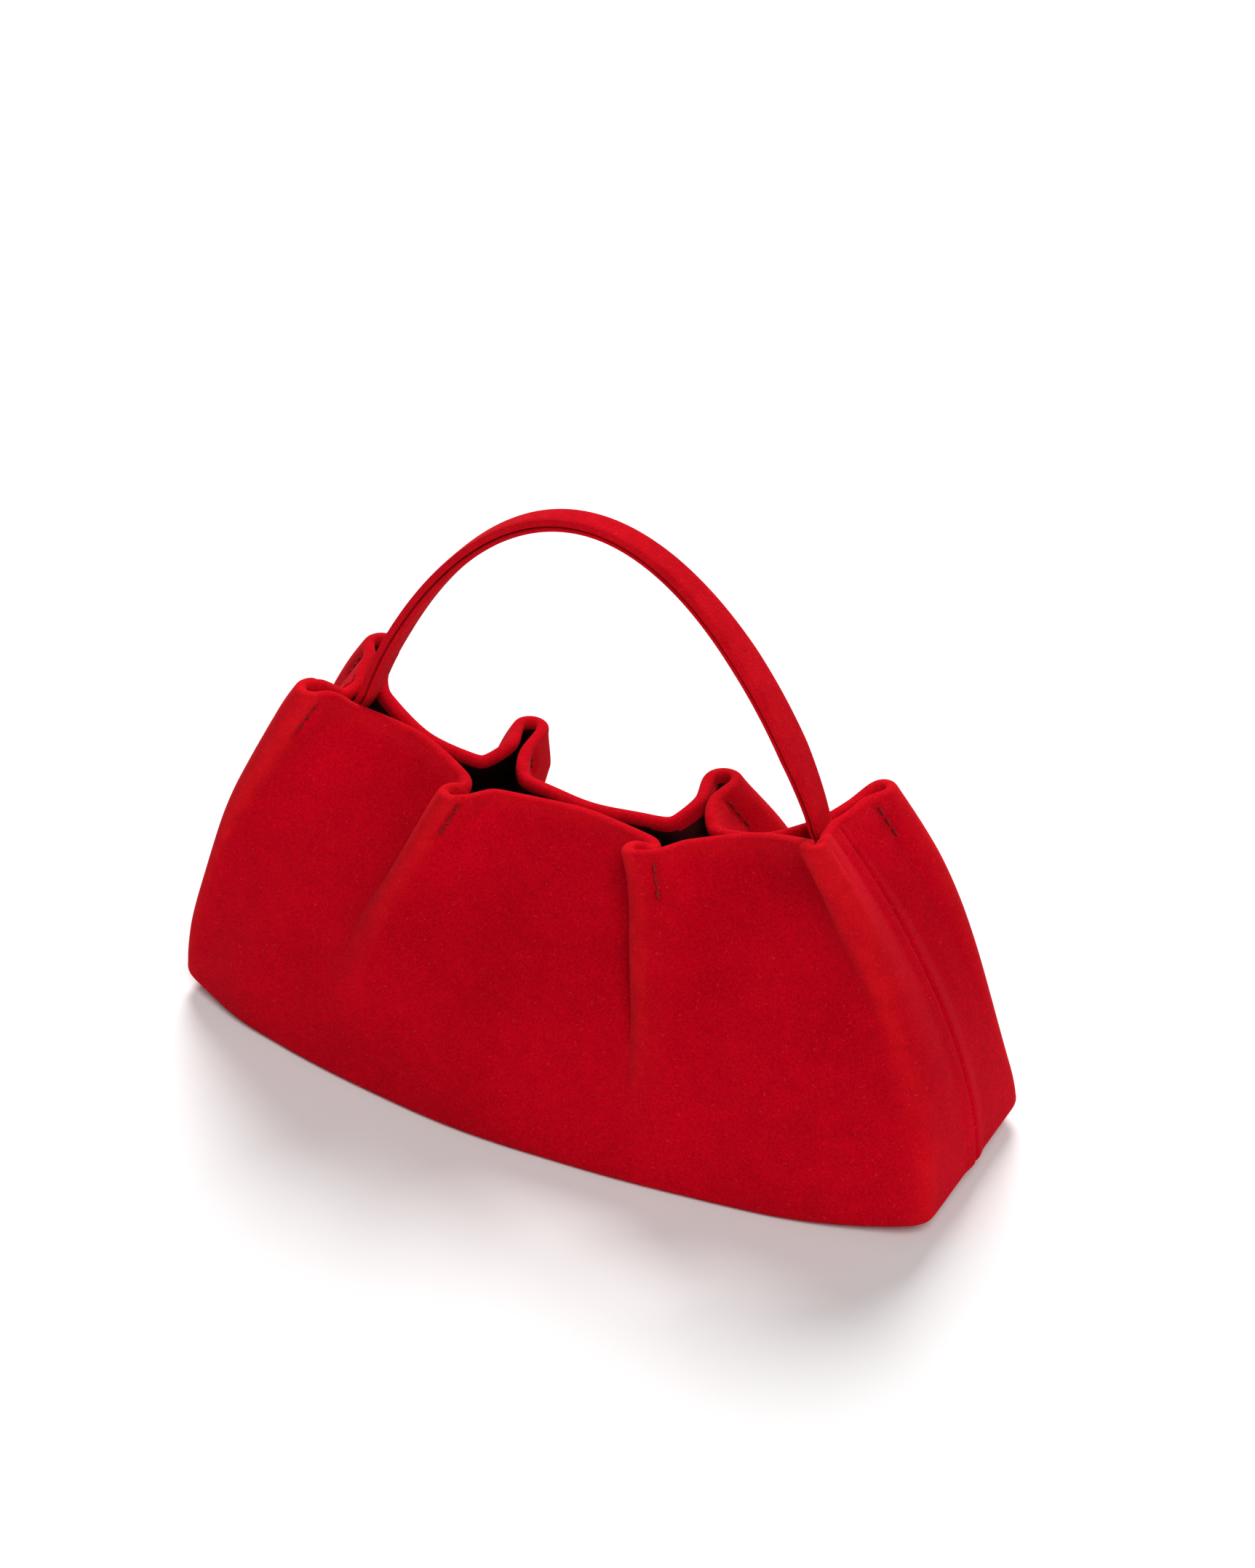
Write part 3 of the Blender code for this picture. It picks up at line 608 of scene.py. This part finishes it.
def tube(path, radii, sides):
    """Points and faces of a closed round tube along a path."""
    tangent = np.gradient(path, axis=0)
    tangent /= np.linalg.norm(tangent, axis=1, keepdims=True)
    first = np.cross(tangent, (1.0, 0.0, 0.0))
    first /= np.linalg.norm(first, axis=1, keepdims=True)
    second = np.cross(tangent, first)
    turn = np.linspace(0, 2 * math.pi, sides, endpoint=False)
    around = np.cos(turn)[None, :, None] * first[:, None] + np.sin(turn)[None, :, None] * second[:, None]
    return (path[:, None] + around * radii[:, None, None]).reshape(-1, 3), ring_faces(len(path), sides)


def ring_faces(rings, sides):
    """Faces of a closed tube of equal rings, listed ring after ring, with both ends capped."""
    faces = []
    for i in range(rings - 1):
        for k in range(sides):
            a = i * sides + k
            b = i * sides + (k + 1) % sides
            faces.append((a, b, b + sides, a + sides))
    faces.append(tuple(range(sides)))
    faces.append(tuple(reversed(range((rings - 1) * sides, rings * sides))))
    return faces


def mesh_object(name, points, faces, material):
    """A smooth mesh object with one material, its faces turned outward."""
    mesh = bpy.data.meshes.new(name)
    mesh.from_pydata([tuple(p) for p in points], [], faces)
    mesh.validate()
    builder = bmesh.new()
    builder.from_mesh(mesh)
    bmesh.ops.recalc_face_normals(builder, faces=builder.faces)
    builder.to_mesh(mesh)
    builder.free()
    mesh.materials.append(material)
    mesh.shade_smooth()
    obj = bpy.data.objects.new(name, mesh)
    bpy.context.scene.collection.objects.link(obj)
    return obj


def make_tacks(word, fins, wall, sides, mirrored, thread):
    """Three hand stitches down each fin's neck, each a short thread whose ends dip into the suede."""
    for which, side in enumerate(sides):
        path, normal = tack_line(fins, wall, which, side)
        points, faces = [], []
        for stitch in range(3):
            rows = slice(8 * stitch + 1, 8 * stitch + 8)
            arch = np.sin(np.linspace(0.06, 0.94, 7) * math.pi)
            sunk = HALF_BAND - PUCKER_DEPTH * THREAD_SUNK_SHARE + THREAD_ARCH * arch
            line = path[rows] + normal[rows] * sunk[:, None]
            radii = THREAD_RADIUS * (0.55 + 0.45 * arch)
            more, rings = tube(line, radii, 8)
            faces += [tuple(len(points) + v for v in face) for face in rings]
            points += list(more)
        points = np.array(points)
        if mirrored:
            points = points * (1, -1, 1)
        obj = mesh_object(f"{word}_stitches_{which + 1}", points, faces, thread)
        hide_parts(f"{word}_tack_{which + 1}")
        hang(obj)


def pucker(outer, normal, fins, wall, sides):
    """Sinks the suede round every row of stitches."""
    depth = np.zeros(outer.shape[:2])
    for which, side in enumerate(sides):
        path, over = tack_line(fins, wall, which, side)
        path = path + over * HALF_BAND
        gap = np.linalg.norm(outer[:, :, None] - path[None, None, ::2], axis=-1)
        depth = np.maximum(depth, np.exp(-((gap.min(axis=2) / PUCKER_RADIUS) ** 2)))
    return outer - normal * (PUCKER_DEPTH * depth)[..., None]


def make_lining(word, wall, mirrored, cloth):
    """The lining of a wall in two halves, each a sheet that hangs from the facing's lower edge."""
    q, t = np.meshgrid(np.linspace(0, 1, 121), np.linspace(*LINING_LEVELS, 30), indexing="ij")
    grid = smooth_wall(q, t, wall)
    normal = square_ends(normals_of(grid))
    outer, inner = (grid - normal * depth for depth in LINING_FACES)
    for layer in (outer, inner):
        layer[..., 1] = np.minimum(layer[..., 1], 0)
    for side, end, part in ((-1, "left", slice(0, 61)), (1, "right", slice(60, None))):
        obj = mesh_from_grids(f"{word}_lining_{end}", outer[part], inner[part], mirrored, [cloth])
        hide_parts(f"{word}_lining")
        hang(obj)


def make_base(suede):
    """The underside between the turned-under walls."""
    half = BASE_HALF_LENGTH - BASE_INSET
    xs = half * np.sin(np.linspace(-math.pi / 2, math.pi / 2, 61))
    near_end = np.clip((np.abs(xs) - (half - PLATE_CORNER)) / PLATE_CORNER, 0, 1)
    depths = base_edge_y(xs) - BASE_INSET - PLATE_CORNER * (1 - np.sqrt(1 - near_end**2))
    across = np.linspace(-1, 1, 25)
    grids = []
    for height in UNDERSIDE_HEIGHTS:
        rows = [[(x, depth * s, base_lift(x) + height) for s in across] for x, depth in zip(xs, depths)]
        grids.append(np.array(rows))
    obj = mesh_from_grids("base_underside", grids[0], grids[1], False, [suede])
    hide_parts("base_panel")
    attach(obj, "base")


# ---------------------------------------------------------------- handle


def strap_line():
    """Centre line of the strap, from inside one end of the bag to inside the other, and its normals."""
    limit = math.acos(((STRAP_TAIL_FROM_Z - HANDLE_ROOT_Z) / HANDLE_RISE) ** (0.5 / HANDLE_ARCH_POWER))
    places = np.linspace(-limit, limit, 181)
    x = HANDLE_ROOT_X * np.sin(places)
    z = HANDLE_ROOT_Z + HANDLE_RISE * np.clip(np.cos(places), 0, 1) ** (2 * HANDLE_ARCH_POWER)
    x += STRAP_LEAN * np.sqrt(np.clip((z - HANDLE_ROOT_Z) / HANDLE_RISE, 0, 1))
    tail_x = np.array(STRAP_TAIL_X)
    tail_z = np.array(STRAP_TAIL_Z)
    x = np.concatenate([-tail_x[::-1], x, tail_x])
    z = np.concatenate([tail_z[::-1], z, tail_z])
    for _ in range(12):
        x[1:-1] = (x[:-2] + 2 * x[1:-1] + x[2:]) / 4
        z[1:-1] = (z[:-2] + 2 * z[1:-1] + z[2:]) / 4
    line = np.stack([x, np.zeros_like(x), z], -1)
    tangent = np.gradient(line, axis=0)
    tangent /= np.linalg.norm(tangent, axis=1, keepdims=True)
    return line, np.stack([-tangent[:, 2], np.zeros_like(x), tangent[:, 0]], -1)


def strap_width(z):
    """Width of the strap at height z: widest on the legs, narrower at the roots and over the top."""
    height = (z - HANDLE_PIVOT_Z) / (HANDLE_ROOT_Z + HANDLE_RISE - HANDLE_PIVOT_Z)
    knots = (-0.1, 0.0, 0.25, 0.6, 1.0)
    widths = (STRAP_WIDTH_ROOT, STRAP_WIDTH_ROOT, STRAP_WIDTH_LEG, STRAP_WIDTH_LEG * 0.95, STRAP_WIDTH_TOP)
    return np.interp(height, knots, widths)


def closed_section(right_half):
    """Section from its right half, listed from the top middle to the bottom middle."""
    return right_half + [(-a, n) for a, n in reversed(right_half[1:-1])]


def cover_section(half):
    """Upper band: a crowned face, a piped edge and a turned-under lip."""
    return closed_section(
        [
            (0, 0.0024),
            (half * 0.5, 0.00237),
            (half - 0.0016, 0.0023),
            (half - 0.0007, 0.0021),
            (half - 0.0002, 0.0016),
            (half - 0.00015, 0.0011),
            (half - 0.00025, 0.0009),
            (half, 0.0006),
            (half + 0.00005, 0.0003),
            (half - 0.00015, 0.0001),
            (half - 0.0007, -0.0001),
            (half - 0.0016, -0.0002),
            (half * 0.4, -0.0004),
            (0, -0.0004),
        ]
    )


def underlay_section(half):
    """Lower band, a little narrower than the upper one."""
    return closed_section(
        [
            (0, -0.00035),
            (half * 0.5, -0.00035),
            (half - 0.0019, -0.0004),
            (half - 0.0013, -0.0007),
            (half - 0.0006, -0.0008),
            (half - 0.0002, -0.0011),
            (half - 0.0002, -0.0016),
            (half - 0.0009, -0.0021),
            (half * 0.6, -0.0023),
            (half * 0.3, -0.0024),
            (0, -0.0024),
        ]
    )


def make_strap_band(name, section, suede, *nodes):
    """One band of the strap, swept along its line and bending near its roots; the nodes are hidden."""
    line, outward = strap_line()
    points = []
    for centre, normal, width in zip(line, outward, strap_width(line[:, 2])):
        for across, out in section(width / 2):
            points.append(centre + normal * out + np.array([0, across, 0]))
    faces = ring_faces(len(line), len(section(0.005)))
    obj = mesh_object(name, np.array(points), faces, suede)
    # The handle's nap is made evenly paler all over
    highlight_and_pale_nap = np.full(len(points), HANDLE_PALE_NAP, np.float32)
    obj.data.attributes.new("highlight_and_pale_nap", "FLOAT", "POINT").data.foreach_set("value", highlight_and_pale_nap)
    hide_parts(*nodes)
    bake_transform(obj)


# ---------------------------------------------------------------- materials


def node_material(name):
    """A new material, its node tree and its shader."""
    material = bpy.data.materials.new(name)
    material.use_nodes = True
    tree = material.node_tree
    return material, tree, tree.nodes["Principled BSDF"]


def add_noise(tree, coords, scale, detail, roughness=0.5):
    """A noise texture on coords, as its grey value."""
    node = tree.nodes.new("ShaderNodeTexNoise")
    node.inputs["Scale"].default_value = scale
    node.inputs["Detail"].default_value = detail
    node.inputs["Roughness"].default_value = roughness
    tree.links.new(coords, node.inputs["Vector"])
    return node.outputs["Fac"]


def ramp(tree, value, stops):
    """Turns a grey value into a colour through (place, colour) stops."""
    node = tree.nodes.new("ShaderNodeValToRGB")
    elements = node.color_ramp.elements
    while len(elements) < len(stops):
        elements.new(0.5)
    for element, (place, color) in zip(elements, stops):
        element.position = place
        element.color = (*color, 1)
    tree.links.new(value, node.inputs["Fac"])
    return node.outputs["Color"]


def blend_color(tree, a, b, share, kind="MIX"):
    """Blends two colours; either may be a socket or a plain colour, and the share a socket or a number."""
    node = tree.nodes.new("ShaderNodeMix")
    node.data_type = "RGBA"
    node.blend_type = kind
    for socket, value in (("A", a), ("B", b)):
        target = next(s for s in node.inputs if s.name == socket and s.type == "RGBA")
        if isinstance(value, tuple):
            target.default_value = (*value, 1)
        else:
            tree.links.new(value, target)
    factor = node.inputs["Factor"]
    if isinstance(share, float):
        factor.default_value = share
    else:
        tree.links.new(share, factor)
    return next(s for s in node.outputs if s.type == "RGBA")


def suede_material():
    """Napped suede: brushed patches, light and dark fibres, and paler nap from a point attribute: a painted
    highlight where the walls bend out and along their rim, and an even paleness all over the handle.
    """
    material, tree, shader = node_material("suede")
    coords = tree.nodes.new("ShaderNodeTexCoord").outputs["Object"]
    cloud = add_noise(tree, coords, 22, 4)
    patch = add_noise(tree, coords, 160, 4, 0.65)
    grain = add_noise(tree, coords, 1400, 2, 0.6)
    fibre = add_noise(tree, coords, 2400, 1)
    tuft = add_noise(tree, coords, 900, 3, 0.7)
    tone = ramp(tree, cloud, ((0.30, (0.47, 0.0004, 0.0080)), (0.70, (0.60, 0.0008, 0.0110))))
    brushed = ramp(tree, patch, ((0.34, (0.95, 0.95, 0.95)), (0.66, (1.05, 1.05, 1.05))))
    speck = ramp(tree, grain, ((0.34, (0.80, 0.80, 0.80)), (0.64, (1.14, 1.14, 1.14))))
    color = blend_color(tree, tone, brushed, 1.0, "MULTIPLY")
    color = blend_color(tree, color, speck, 1.0, "MULTIPLY")
    highlight_attribute = tree.nodes.new("ShaderNodeAttribute")
    highlight_attribute.attribute_name = "highlight_and_pale_nap"
    highlight_amount = tree.nodes.new("ShaderNodeMath")
    highlight_amount.operation = "MULTIPLY"
    tree.links.new(highlight_attribute.outputs["Fac"], highlight_amount.inputs[0])
    tree.links.new(patch, highlight_amount.inputs[1])
    # Paler red nap: a painted highlight on the walls' bends and rim, and an even paleness on the handle
    color = blend_color(tree, color, (0.80, 0.014, 0.016), highlight_amount.outputs[0])
    hair = ramp(tree, tuft, ((0.63, (0, 0, 0)), (0.74, (0.45, 0.45, 0.45))))
    color = blend_color(tree, color, (0.90, 0.050, 0.045), hair)
    tree.links.new(color, shader.inputs["Base Color"])
    shader.inputs["Roughness"].default_value = 1.0
    shader.inputs["Specular IOR Level"].default_value = 0.02
    shader.inputs["Sheen Weight"].default_value = 0.16
    shader.inputs["Sheen Roughness"].default_value = 0.45
    shader.inputs["Sheen Tint"].default_value = (1.0, 0.09, 0.11, 1)
    bump = tree.nodes.new("ShaderNodeBump")
    bump.inputs["Strength"].default_value = 0.5
    bump.inputs["Distance"].default_value = 0.0005
    total = tree.nodes.new("ShaderNodeMath")
    total.operation = "ADD"
    tree.links.new(tuft, total.inputs[0])
    tree.links.new(fibre, total.inputs[1])
    tree.links.new(total.outputs[0], bump.inputs["Height"])
    tree.links.new(bump.outputs["Normal"], shader.inputs["Normal"])
    return material


def weave_height(tree, coords, grain):
    """Diagonal ribs of a twill, broken up a little by the grain."""
    ribs = tree.nodes.new("ShaderNodeTexWave")
    ribs.bands_direction = "DIAGONAL"
    ribs.inputs["Scale"].default_value = TWILL_SCALE
    ribs.inputs["Distortion"].default_value = 0.6
    tree.links.new(coords, ribs.inputs["Vector"])
    total = tree.nodes.new("ShaderNodeMath")
    total.operation = "MULTIPLY_ADD"
    tree.links.new(ribs.outputs["Fac"], total.inputs[0])
    total.inputs[1].default_value = 0.7
    tree.links.new(grain, total.inputs[2])
    return total.outputs[0]


def simple_material(name, low, high, scale, roughness, metallic=0.0, woven=False):
    """Grained or woven material between two colours, with its roughness and bump from the same grain."""
    material, tree, shader = node_material(name)
    coords = tree.nodes.new("ShaderNodeTexCoord").outputs["Object"]
    grain = add_noise(tree, coords, scale, 3, 0.6)
    if woven:
        grain = weave_height(tree, coords, grain)
    tree.links.new(ramp(tree, grain, ((0.35, low), (0.65, high))), shader.inputs["Base Color"])
    rough = tree.nodes.new("ShaderNodeMapRange")
    rough.inputs["To Min"].default_value = roughness - 0.06
    rough.inputs["To Max"].default_value = roughness + 0.06
    tree.links.new(grain, rough.inputs["Value"])
    tree.links.new(rough.outputs["Result"], shader.inputs["Roughness"])
    shader.inputs["Metallic"].default_value = metallic
    shader.inputs["Specular IOR Level"].default_value = 0.5 if metallic else 0.05
    bump = tree.nodes.new("ShaderNodeBump")
    bump.inputs["Strength"].default_value = 0.3
    bump.inputs["Distance"].default_value = 0.0002
    tree.links.new(grain, bump.inputs["Height"])
    tree.links.new(bump.outputs["Normal"], shader.inputs["Normal"])
    return material


# ---------------------------------------------------------------- camera, lights, floor


def make_camera():
    """Camera that looks down on the front wall from its right."""
    data = bpy.data.cameras.new("camera")
    camera = bpy.data.objects.new("camera", data)
    bpy.context.scene.collection.objects.link(camera)
    az, el = math.radians(CAMERA_AZIMUTH), math.radians(CAMERA_ELEVATION)
    back = Vector((math.sin(az) * math.cos(el), -math.cos(az) * math.cos(el), math.sin(el)))
    camera.location = Vector((0, 0, CAMERA_TARGET_Z)) + back * CAMERA_DISTANCE
    camera.rotation_euler = (-back).to_track_quat("-Z", "Y").to_euler()
    camera.rotation_euler.rotate_axis("Z", math.radians(CAMERA_ROLL))
    data.lens = LENS_MM
    data.sensor_width = SENSOR_MM
    data.shift_x, data.shift_y = CAMERA_SHIFT
    data.clip_start = 0.01
    bpy.context.scene.camera = camera


def soft_sun(name, towards, strength, spread):
    """A sun that shines from towards, with soft shadows."""
    data = bpy.data.lights.new(name, "SUN")
    data.energy = strength
    data.angle = math.radians(spread)
    light = bpy.data.objects.new(name, data)
    light.rotation_euler = (-Vector(towards)).to_track_quat("-Z", "Y").to_euler()
    bpy.context.scene.collection.objects.link(light)


def make_stage():
    """Pale floor, soft light from the front right and from behind, and a dim white surround."""
    mesh = bpy.data.meshes.new("floor")
    half = FLOOR_HALF_WIDTH
    corners = [(-half, -half, 0), (half, -half, 0), (half, half, 0), (-half, half, 0)]
    mesh.from_pydata(corners, [], [(0, 1, 2, 3)])
    floor = bpy.data.objects.new("floor", mesh)
    bpy.context.scene.collection.objects.link(floor)
    material, _, shader = node_material("paper")
    shader.inputs["Base Color"].default_value = (0.92, 0.92, 0.92, 1)
    shader.inputs["Roughness"].default_value = 0.9
    mesh.materials.append(material)
    world = bpy.data.worlds.new("world")
    world.use_nodes = True
    surround = world.node_tree.nodes["Background"]
    surround.inputs["Color"].default_value = (1, 1, 1, 1)
    surround.inputs["Strength"].default_value = WORLD_LIGHT
    bpy.context.scene.world = world
    soft_sun("key", *KEY_SUN)
    soft_sun("back", *BACK_SUN)
    bpy.context.scene.view_settings.view_transform = "Standard"


def make_looks():
    """One material for each material slot of the record."""
    return {
        "suede": suede_material(),
        # Near-black lining: partly its own dark colour, partly painted shade inside the bag
        "lining": simple_material(
            "lining_and_painted_shade", (0.030, 0.004, 0.005), (0.050, 0.006, 0.007), 1400, 0.85, woven=True
        ),
        "thread": simple_material("thread", (0.085, 0.003, 0.005), (0.36, 0.035, 0.035), 3000, 0.8),
        "magnet": simple_material("steel", (0.55, 0.55, 0.56), (0.65, 0.65, 0.66), 600, 0.35, metallic=1.0),
        "board": simple_material("board", (0.26, 0.19, 0.12), (0.34, 0.25, 0.16), 900, 0.9),
        "core": simple_material("webbing", (0.70, 0.66, 0.56), (0.82, 0.78, 0.68), 1200, 0.9, woven=True),
    }


def dress_nodes(looks):
    """Gives every CAD node the material of its slot."""
    for row in frame["record"]["subparts"]:
        node = frame["nodes"][row["node"]]
        node.data.materials.clear()
        node.data.materials.append(looks[row["material_slot"]])


def main():
    make_camera()
    make_stage()
    looks = make_looks()
    suede, cloth, thread = looks["suede"], looks["lining"], looks["thread"]
    make_wall("front", FRONT_FINS, FRONT_WALL, FRONT_SOFTNESS, FRONT_TACK_SIDES, False, suede, cloth)
    make_wall("back", BACK_FINS, BACK_WALL, None, BACK_TACK_SIDES, True, suede, cloth)
    make_tacks("front", FRONT_FINS, FRONT_WALL, FRONT_TACK_SIDES, False, thread)
    make_tacks("back", BACK_FINS, BACK_WALL, BACK_TACK_SIDES, True, thread)
    inner_nodes = ("handle_core", "handle_anchor_left", "handle_anchor_right")
    make_strap_band("handle_band", cover_section, suede, "handle_cover", *inner_nodes)
    make_strap_band("handle_lower_band", underlay_section, suede, "handle_underlay")
    make_base(suede)
    make_lining("front", FRONT_WALL, False, cloth)
    make_lining("back", BACK_WALL, True, cloth)
    dress_nodes(looks)


main()
